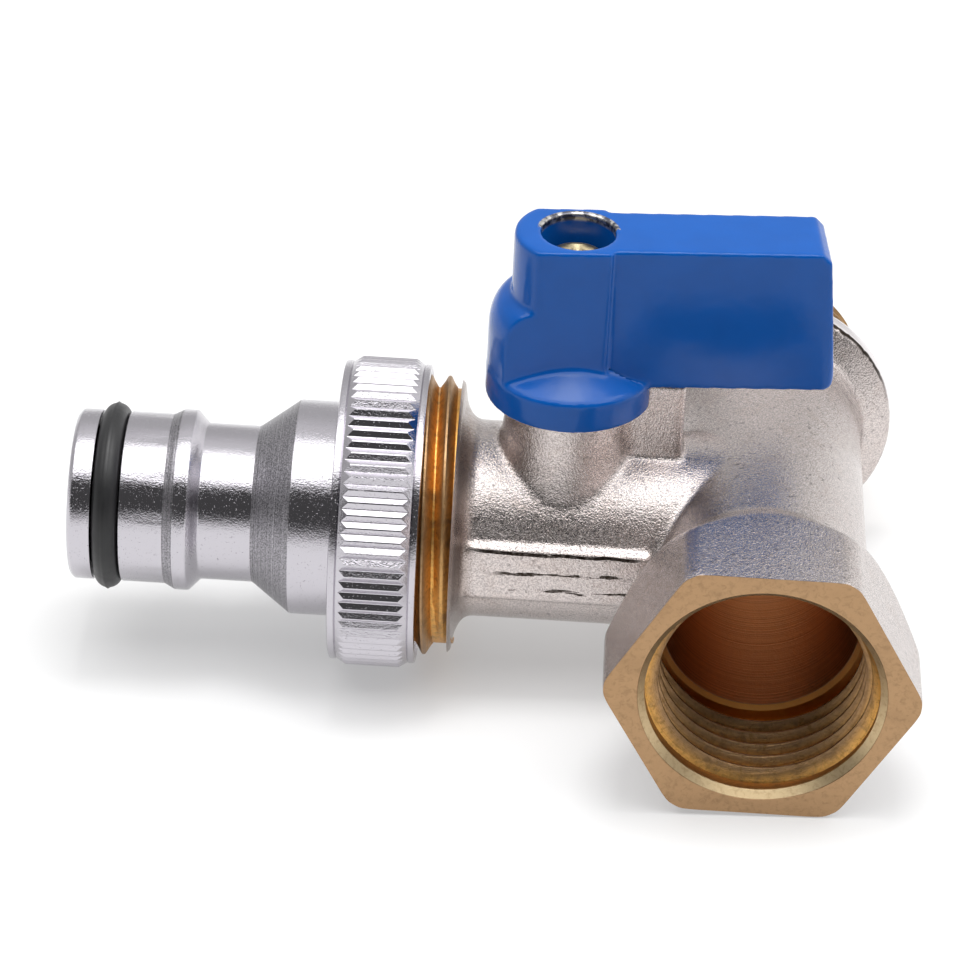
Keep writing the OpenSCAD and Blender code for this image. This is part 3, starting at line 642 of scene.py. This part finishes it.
def paint_material():
    """Thick glossy blue paint over a casting, worn to metal at the rim of the screw hole."""
    colours = settings("valve_colours")
    material, tree, shader, place = new_material("Blue paint", Roughness=0.16, Specular_IOR_Level=0.3)
    far = radius_from(tree, place, "Z", (STEM_X, BRANCH_Y, 0))[0]
    height = node(tree, "ShaderNodeSeparateXYZ", {0: place}).outputs["Z"]
    ripple = noise(tree, place, 260.0, 3.0, 0.55)
    speck = noise(tree, place, 1500.0, 2.0)
    chip = noise(tree, place, 1100.0, 4.0, 0.65)
    rim = math_node(tree, "MULTIPLY", spread(tree, far, 0.00372, 0.0039, 1.0, 0.0), spread(
        tree, height, (HANDLE_HIGH.z - 0.9) * MM, (HANDLE_HIGH.z - 0.5) * MM))
    rear = spread(tree, node(tree, "ShaderNodeSeparateXYZ", {0: place}).outputs["Y"],
                  (BRANCH_Y - 1) * MM, (BRANCH_Y + 2) * MM, 0.1, 0.7)
    rim = math_node(tree, "MULTIPLY", rim, spread(tree, math_node(tree, "ADD", chip, rear), 0.85, 0.95))
    tone = mixed(tree, spread(tree, ripple, 0.3, 0.7), tuple(colours.paint),
                 tuple(min(1, 1.08 * c) for c in colours.paint))
    metal = mixed(tree, spread(tree, speck, 0.4, 0.6), (0.12, 0.12, 0.14), (0.6, 0.58, 0.55))
    tree.links.new(mixed(tree, rim, tone, metal), shader.inputs["Base Color"])
    tree.links.new(rim, shader.inputs["Metallic"])
    tree.links.new(spread(tree, rim, 0.0, 1.0, 0.16, 0.35), shader.inputs["Roughness"])
    bump(tree, shader, math_node(tree, "MULTIPLY_ADD", ripple, 0.8, math_node(
        tree, "MULTIPLY", speck, 0.05)), 0.00016, 0.3)
    return material


def plain_material(name, tone, roughness, metallic=0.0, ripple_size=0.0005, ripple=0.00002):
    """A plain finish with a fine surface texture, for rubber, plastic and hidden metal."""
    material, tree, shader, place = new_material(name, Metallic=metallic)
    grain = use_group(tree, "Grain", {"Vector": place, "Size": ripple_size, "Pits": 0.4})
    tree.links.new(mixed(tree, grain.outputs["Dark"], tone, tuple(0.7 * c for c in tone)),
                   shader.inputs["Base Color"])
    tree.links.new(spread(tree, grain.outputs["Height"], 0.2, 0.8, roughness, roughness + 0.15),
                   shader.inputs["Roughness"])
    bump(tree, shader, grain.outputs["Height"], ripple, 0.7)
    return material


class VALVE_OT_forged_body(bpy.types.Operator):
    """Blend the forged body, then machine its faces and bores"""
    bl_idname = "valve.forged_body"
    bl_label = "Forged body"

    def execute(self, context):
        sizes = settings("valve_body_sizes")
        bm = bmesh.new()
        add_copy(bm, "valve_body")
        add_rod(bm, sizes.plug_r, FACE_Y - 1, sizes.ledge_y + 1, ALONG_RUN)
        add_rod(bm, sizes.bore_in_r + 0.4, 5, END_Y, ALONG_RUN)
        add_rod(bm, 8.5, STEM_X, sizes.shoulder_u + 6, ALONG_BRANCH)
        add_rod(bm, 4.6, 0, BODY_HIGH.z * 0.8, ALONG_STEM)
        self.add_hexagon(bm, sizes)
        piece = mesh_object("forged_body", bm)
        blend_shapes(piece, sizes.grid, 5)
        self.machine(piece, sizes)
        finish_piece(piece, "valve", body_material(), ("valve_body",), sharp=40)
        return {"FINISHED"}

    def add_hexagon(self, bm, sizes):
        """The hexagon, run on past the face, which is then cut square."""
        before = set(bm.verts)
        corner = sizes.hex_af / 2 / math.cos(math.pi / 6)
        bmesh.ops.create_cone(bm, cap_ends=True, segments=6, radius1=corner, radius2=corner,
                              depth=sizes.ledge_y * 0.5, matrix=ALONG_RUN)
        made = [v for v in bm.verts if v not in before]
        bmesh.ops.rotate(bm, cent=(0, 0, 0), matrix=Matrix.Rotation(math.pi / 6, 3, "Y"), verts=made)
        edges = {e for v in made for e in v.link_edges if abs(e.verts[0].co.y - e.verts[1].co.y) > 1}
        bmesh.ops.bevel(bm, geom=list(edges), offset=sizes.hex_corner, offset_type="OFFSET", segments=5,
                        profile=0.5, affect="EDGES", material=-1)

    def machine(self, piece, sizes):
        far = 40
        tap_y = FACE_Y + sizes.mouth_l
        ledge = FACE_Y + sizes.ledge_y
        taper_end = BRANCH_Y + 7.5
        tool = bmesh.new()
        add_lathe(tool, [
            (FACE_Y - 5, 0), (FACE_Y - 5, far), (FACE_Y, far), (FACE_Y, sizes.mouth_r),
            (tap_y, sizes.tap_r), (tap_y + sizes.tap_l, sizes.tap_r),
            (tap_y + sizes.tap_l + 0.1, sizes.relief_r), (ledge, sizes.relief_r),
            (ledge, sizes.bore_in_r + sizes.ledge_edge), (ledge + sizes.ledge_edge, sizes.bore_in_r),
            (taper_end, sizes.bore_out_r),
            (sizes.collar_back_y, sizes.bore_out_r), (sizes.collar_back_y, far),
            (END_Y + 5, far), (END_Y + 5, 0)], ALONG_RUN, 160, closed=False)
        cut_away(piece, tool)
        tool = bmesh.new()
        add_lathe(tool, [
            (-STEM_X * -1, 0), (-STEM_X * -1, 4.75), (-7.6, 4.75), (-7.6, 7.5), (7.6, 7.5), (7.6, 8.17),
            (sizes.shoulder_u, 8.17), (sizes.shoulder_u, far), (sizes.shoulder_u + 12, far),
            (sizes.shoulder_u + 12, 0)], ALONG_BRANCH, 96, closed=False)
        cut_away(piece, tool)


class VALVE_OT_threads(bpy.types.Operator):
    """Cut the brass threads of the inlet, the outlet and the branch"""
    bl_idname = "valve.threads"
    bl_label = "Threads"

    def execute(self, context):
        sizes, body = settings("valve_thread_sizes"), settings("valve_body_sizes")
        root_r = sizes.run_r - sizes.depth
        bm = bmesh.new()
        add_thread(bm, ALONG_RUN, FACE_Y + body.mouth_l + 0.88, 5.0, sizes.run_r, sizes.depth, sizes.pitch,
                   inward=True, phase=math.radians(-90))
        make_piece("inlet_thread", bm, "valve",
                   brass_material("Inlet brass", "Y", (0, 0, 0), sizes.run_r, root_r))

        bm = bmesh.new()
        start = body.collar_back_y
        add_lathe(bm, [
            (start - 0.3, body.bore_out_r), (start - 0.3, root_r - 0.1), (END_Y - 0.9, root_r - 0.1),
            (END_Y, root_r - 0.8), (END_Y, body.bore_out_r + 0.4), (END_Y - 0.4, body.bore_out_r)],
            ALONG_RUN, 128)
        add_thread(bm, ALONG_RUN, start + 1.4, 4.2, root_r, sizes.depth, sizes.pitch,
                   chamfer=lambda along: root_r - 0.95 + 1.1 * (END_Y - along))
        make_piece("outlet_thread", bm, "valve",
                   brass_material("Outlet brass", "Y", (0, 0, 0), root_r, sizes.run_r))

        bm = bmesh.new()
        root_r = sizes.branch_r - sizes.depth
        add_lathe(bm, [
            (body.shoulder_u - 0.3, 8.3), (body.shoulder_u - 0.3, root_r), (BRANCH_END_U - 0.6, root_r),
            (BRANCH_END_U, root_r - 0.6), (BRANCH_END_U, 8.3)], ALONG_BRANCH, 128)
        add_thread(bm, ALONG_BRANCH, body.shoulder_u + 0.3, 3.3, root_r, sizes.depth, sizes.pitch,
                   phase=math.radians(200))
        make_piece("branch_thread", bm, "valve",
                   brass_material("Branch brass", "X", (STEM_X, BRANCH_Y, 0), root_r, sizes.branch_r))
        return {"FINISHED"}


class VALVE_OT_handle(bpy.types.Operator):
    """Soften the cast handle and paint it"""
    bl_idname = "valve.handle"
    bl_label = "Handle"

    def execute(self, context):
        bm = bmesh.new()
        add_copy(bm, "handle")
        piece = mesh_object("painted_handle", bm)
        blend_shapes(piece, 0.2, 5)
        self.swell_ledge(piece)
        finish_piece(piece, "handle", paint_material(), ("handle",), sharp=60)
        self.add_screw()
        return {"FINISHED"}

    def swell_ledge(self, piece):
        """Raises the cast ledges beside the tower towards the tower, as the thick paint rounds them."""
        low, high = 17.45, 21.2
        for v in piece.data.vertices:
            side, height = abs(v.co.y / MM - BRANCH_Y), v.co.z / MM
            reach = math.hypot(v.co.x / MM - STEM_X, side)
            if low < height < high and side > 3.6 and reach < 7.8:
                ease = min(1.0, (height - low) / 0.15, (high - height) / 1.5)
                v.co.z += ease * 0.2 * (7.8 - reach) * MM

    def add_screw(self):
        """The screw, with its head as high in the hole as the photo shows it."""
        bm = bmesh.new()
        add_copy(bm, "handle_screw")
        for v in bm.verts:
            if v.co.z > SCREW_HIGH.z - 1.6:
                v.co.z += 0.8
        steel = plain_material("Screw steel", (0.42, 0.35, 0.22), 0.32, 1.0, 0.0003, 0.00005)
        make_piece("cross_screw", bm, "handle", steel, ("handle_screw",), sharp=30)


class VALVE_OT_union_nut(bpy.types.Operator):
    """Turn and knurl the union nut"""
    bl_idname = "valve.union_nut"
    bl_label = "Union nut"

    def execute(self, context):
        sizes = settings("valve_connector_sizes")
        u0, u1 = NUT_U, NUT_END_U
        k0, k1 = u0 + sizes.open_rim, u1 - sizes.lip_rim
        bevel = sizes.bevel_w
        bore_r = settings("valve_thread_sizes").branch_r + 0.1
        lip_r = 10.25
        edge = 0.25
        outline = [
            (u0 + 0.5, bore_r), (u0, bore_r + 0.4), (u0, sizes.rim_r - edge),
            (u0 + 0.07, sizes.rim_r - 0.07), (u0 + edge, sizes.rim_r),
            (k0 - 0.1, sizes.rim_r), (k0, sizes.rim_r - 0.1), (k0 + 0.1, sizes.rim_r),
            (k0 + bevel, sizes.knurl_r), (k1 - bevel, sizes.knurl_r),
            (k1 - 0.1, sizes.rim_r), (k1, sizes.rim_r - 0.1), (k1 + 0.1, sizes.rim_r),
            (u1 - edge, sizes.rim_r), (u1 - 0.07, sizes.rim_r - 0.07),
            (u1, sizes.rim_r - edge), (u1, lip_r + 0.2), (u1 - 0.2, lip_r),
            (u1 - 1.2, lip_r), (u1 - 1.2, bore_r)]
        bm = bmesh.new()
        add_lathe(bm, outline, Matrix.Identity(4), sizes.teeth * len(TOOTH_COLUMNS))
        self.cut_teeth(bm, sizes, (k0 + k1) / 2)
        bmesh.ops.transform(bm, matrix=ALONG_BRANCH, verts=bm.verts)
        make_piece("knurled_nut", bm, "nut",
                   chrome_material("Nut chrome", (), 0.09), ("union_nut",), sharp=24)
        return {"FINISHED"}

    def cut_teeth(self, bm, sizes, middle):
        """Gives each tooth a narrow crest, and each groove a V section that runs out on the bevel."""
        columns = len(TOOTH_COLUMNS)
        run_out = (sizes.bevel_w - 0.1) * sizes.knurl_depth / (sizes.knurl_r - sizes.rim_r)
        for v in bm.verts:
            radius = math.hypot(v.co.x, v.co.y)
            column = round(math.atan2(v.co.y, v.co.x) / TURN * sizes.teeth * columns)
            tooth, phase = divmod(column, columns)
            shift, depth = TOOTH_COLUMNS[phase]
            if radius > sizes.knurl_r - 0.01:
                radius -= depth * sizes.knurl_depth
                v.co.z += depth * run_out * (-1 if v.co.z < middle else 1)
            angle = (tooth + shift) / sizes.teeth * TURN
            v.co.x, v.co.y = radius * math.cos(angle), radius * math.sin(angle)


class VALVE_OT_nipple(bpy.types.Operator):
    """Turn the hose nipple and lay its O-ring in the groove"""
    bl_idname = "valve.nipple"
    bl_label = "Nipple"

    def execute(self, context):
        sizes = settings("valve_connector_sizes")
        zones = ((sizes.cone_u, sizes.neck_u), (sizes.ramp_u, sizes.barrel_u))
        bm = bmesh.new()
        add_copy(bm, "nipple")
        round_edges(bm, 0.12, 2)
        make_piece("turned_nipple", bm, "connector",
                   chrome_material("Nipple chrome", zones, 0.11), ("nipple",), sharp=30)

        section_r = (RING_HIGH.x - RING_LOW.x) / 2
        outer_r = (RING_HIGH.z - RING_LOW.z) / 2
        centre_u = STEM_X - (RING_LOW.x + RING_HIGH.x) / 2
        steps = 40
        circle = [(centre_u + section_r * math.cos(TURN * i / steps),
                   outer_r - section_r + section_r * math.sin(TURN * i / steps)) for i in range(steps)]
        circle[steps // 4] = (centre_u, outer_r + 0.12)
        bm = bmesh.new()
        add_lathe(bm, circle, ALONG_BRANCH, 128)
        rubber = plain_material("O-ring rubber", tuple(settings("valve_colours").rubber), 0.35)
        make_piece("rubber_ring", bm, "connector", rubber, ("nipple_o_ring",), sharp=180)
        return {"FINISHED"}


class VALVE_OT_hidden_pieces(bpy.types.Operator):
    """Finish the pieces inside the valve"""
    bl_idname = "valve.hidden_pieces"
    bl_label = "Screw and inner pieces"

    def execute(self, context):
        colours = settings("valve_colours")
        finishes = {
            plain_material("White plastic", tuple(colours.seat), 0.4): (
                "inner_seat", "outer_seat", "stem_thrust_washer"),
            plain_material("Inner brass", tuple(colours.brass), 0.25, 1.0): ("seat_retainer", "stem"),
            plain_material("Seal rubber", tuple(colours.rubber), 0.5): (
                "lower_stem_ring", "upper_stem_ring", "union_washer"),
            plain_material("Polished chrome", tuple(colours.chrome), 0.05, 1.0): ("ball",),
        }
        for material, nodes in finishes.items():
            for name in nodes:
                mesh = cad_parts[name].data
                mesh.materials.clear()
                mesh.materials.append(material)
        return {"FINISHED"}


class VALVE_OT_stage(bpy.types.Operator):
    """Set the camera, the floor and the lights"""
    bl_idname = "valve.stage"
    bl_label = "Stage"

    def execute(self, context):
        self.add_camera(context)
        self.add_floor()
        self.add_lights(context)
        return {"FINISHED"}

    def add_camera(self, context):
        sizes = settings("valve_stage_sizes")
        yaw, pitch, roll = (math.radians(a) for a in (sizes.yaw, sizes.pitch, sizes.roll))
        turn = Matrix.Rotation(yaw, 4, "Z") @ Matrix.Rotation(math.pi / 2 - pitch, 4, "X")
        data = bpy.data.cameras.new("Camera")
        data.lens = sizes.lens
        data.sensor_width = 36
        data.clip_start = 0.01
        camera = bpy.data.objects.new("Camera", data)
        camera.matrix_world = (Matrix.Translation(Vector(sizes.camera) * MM) @ turn
                               @ Matrix.Rotation(roll, 4, "Z"))
        context.scene.collection.objects.link(camera)
        context.scene.camera = camera

    def add_floor(self):
        """A pale floor that touches the nut, the hexagon and the collar, on which the valve leans."""
        nut = Vector((NUT_HIGH.x - 1.8, BRANCH_Y, NUT_LOW.z))
        flat = Vector((7.3, FACE_Y, -12.65))
        collar = Vector((0, 48, -13.1))
        normal = (flat - nut).cross(collar - nut).normalized()
        if normal.z < 0:
            normal = -normal
        bm = bmesh.new()
        bmesh.ops.create_grid(bm, x_segments=1, y_segments=1, size=4000)
        tilt = Vector((0, 0, 1)).rotation_difference(normal).to_matrix().to_4x4()
        bmesh.ops.transform(bm, matrix=Matrix.Translation(nut - normal * 0.05) @ tilt, verts=bm.verts)
        floor = mesh_object("floor", bm)
        material, tree, shader, place = new_material(
            "Pale floor", Roughness=0.6, Emission_Color=(1, 1, 1, 1), Emission_Strength=0.34)
        shade = spread(tree, noise(tree, place, 3.0, 2.0), 0.3, 0.7)
        tree.links.new(mixed(tree, shade, (0.53, 0.53, 0.53), (0.55, 0.55, 0.55)),
                       shader.inputs["Base Color"])
        floor.data.materials.append(material)

    def add_lights(self, context):
        """White surroundings with a dark card behind the camera, and one long softbox over it."""
        world = bpy.data.worlds.new("Studio")
        world.use_nodes = True
        tree = world.node_tree
        towards = node(tree, "ShaderNodeSeparateXYZ", {0: tree.nodes.new("ShaderNodeTexCoord").outputs[
            "Generated"]})
        east, north, up = (towards.outputs[axis] for axis in "XYZ")
        level = math_node(tree, "SQRT", math_node(tree, "SUBTRACT", 1.0, math_node(tree, "MULTIPLY", up, up)))
        front = math_node(tree, "DIVIDE", math_node(tree, "MULTIPLY", north, -1.0), level)
        below = self.side_of(tree, north, up, SOFTBOX_FRONT)
        frame_front = self.side_of(tree, north, up, SOFTBOX_REAR)
        card = math_node(tree, "MULTIPLY", spread(tree, up, -0.01, 0.05), spread(tree, below, -0.02, 0.02))
        card = math_node(tree, "MULTIPLY", card, spread(tree, front, 0.0, 0.5))
        edge = math_node(tree, "MULTIPLY", spread(tree, frame_front, -0.06, -0.05),
                         spread(tree, frame_front, -0.01, 0.0, 1.0, 0.0))
        card = math_node(tree, "MAXIMUM", card, math_node(tree, "MULTIPLY", edge, 0.7))
        wall = math_node(tree, "ADD", spread(tree, up, 0.45, 0.95, WALL_LIGHT, TOP_LIGHT),
                         spread(tree, east, 0.25, 0.8, 0.0, SIDE_LIGHT))
        light = math_node(tree, "ADD", math_node(tree, "MULTIPLY", card, CARD_LIGHT), math_node(
            tree, "MULTIPLY", wall, math_node(tree, "SUBTRACT", 1.0, card)))
        seen = tree.nodes.new("ShaderNodeLightPath").outputs["Is Camera Ray"]
        light = math_node(tree, "MAXIMUM", seen, light)
        tree.links.new(light, tree.nodes["Background"].inputs["Strength"])
        tree.nodes["Background"].inputs["Color"].default_value = (1, 1, 1, 1)
        context.scene.world = world
        context.scene.view_settings.view_transform = "Standard"
        sizes = settings("valve_stage_sizes")
        self.add_softbox("Softbox", SOFTBOX_FRONT, SOFTBOX_REAR, sizes.softbox_w, sizes.softbox_power)
        self.add_softbox("Softbox core", CORE_FRONT, CORE_REAR, sizes.core_w, sizes.core_power)

    def side_of(self, tree, north, up, angle):
        """Positive for directions below a plane that holds the X axis and rises at angle from the front."""
        return math_node(tree, "MULTIPLY_ADD", north, -math.sin(angle), math_node(
            tree, "MULTIPLY", up, -math.cos(angle)))

    def add_softbox(self, name, front_angle, rear_angle, width, power):
        """A level softbox whose front and rear edges stand at set angles above the valve."""
        height = settings("valve_stage_sizes").softbox_z
        front, rear = (-height / math.tan(angle) for angle in (front_angle, rear_angle))
        data = bpy.data.lights.new(name, "AREA")
        data.shape = "RECTANGLE"
        data.size, data.size_y = width * MM, (rear - front) * MM
        data.energy = power
        light = bpy.data.objects.new(name, data)
        light.location = Vector((STEM_X, BRANCH_Y + (front + rear) / 2, height)) * MM
        bpy.context.scene.collection.objects.link(light)


class VALVE_PT_panel(bpy.types.Panel):
    """Lists the steps and their settings"""
    bl_label = "Angle valve"
    bl_idname = "VALVE_PT_panel"
    bl_space_type = "VIEW_3D"
    bl_region_type = "UI"
    bl_category = "Angle valve"

    def draw(self, context):
        for step in STEPS:
            self.layout.operator(step.bl_idname)
        for name, group in SETTINGS.items():
            box = self.layout.box()
            for key in group.__annotations__:
                box.prop(getattr(context.scene, name), key)


STEPS = (
    VALVE_OT_stage,
    VALVE_OT_forged_body,
    VALVE_OT_threads,
    VALVE_OT_handle,
    VALVE_OT_union_nut,
    VALVE_OT_nipple,
    VALVE_OT_hidden_pieces,
)


def register():
    for cls in (*SETTINGS.values(), *STEPS, VALVE_PT_panel):
        bpy.utils.register_class(cls)
    for name, group in SETTINGS.items():
        setattr(bpy.types.Scene, name, bpy.props.PointerProperty(type=group))


def unregister():
    for name in SETTINGS:
        delattr(bpy.types.Scene, name)
    for cls in (VALVE_PT_panel, *reversed(STEPS), *reversed(SETTINGS.values())):
        bpy.utils.unregister_class(cls)


def main():
    register()
    for step in STEPS:
        group, name = step.bl_idname.split(".")
        getattr(getattr(bpy.ops, group), name)()


if __name__ == "__main__":
    main()
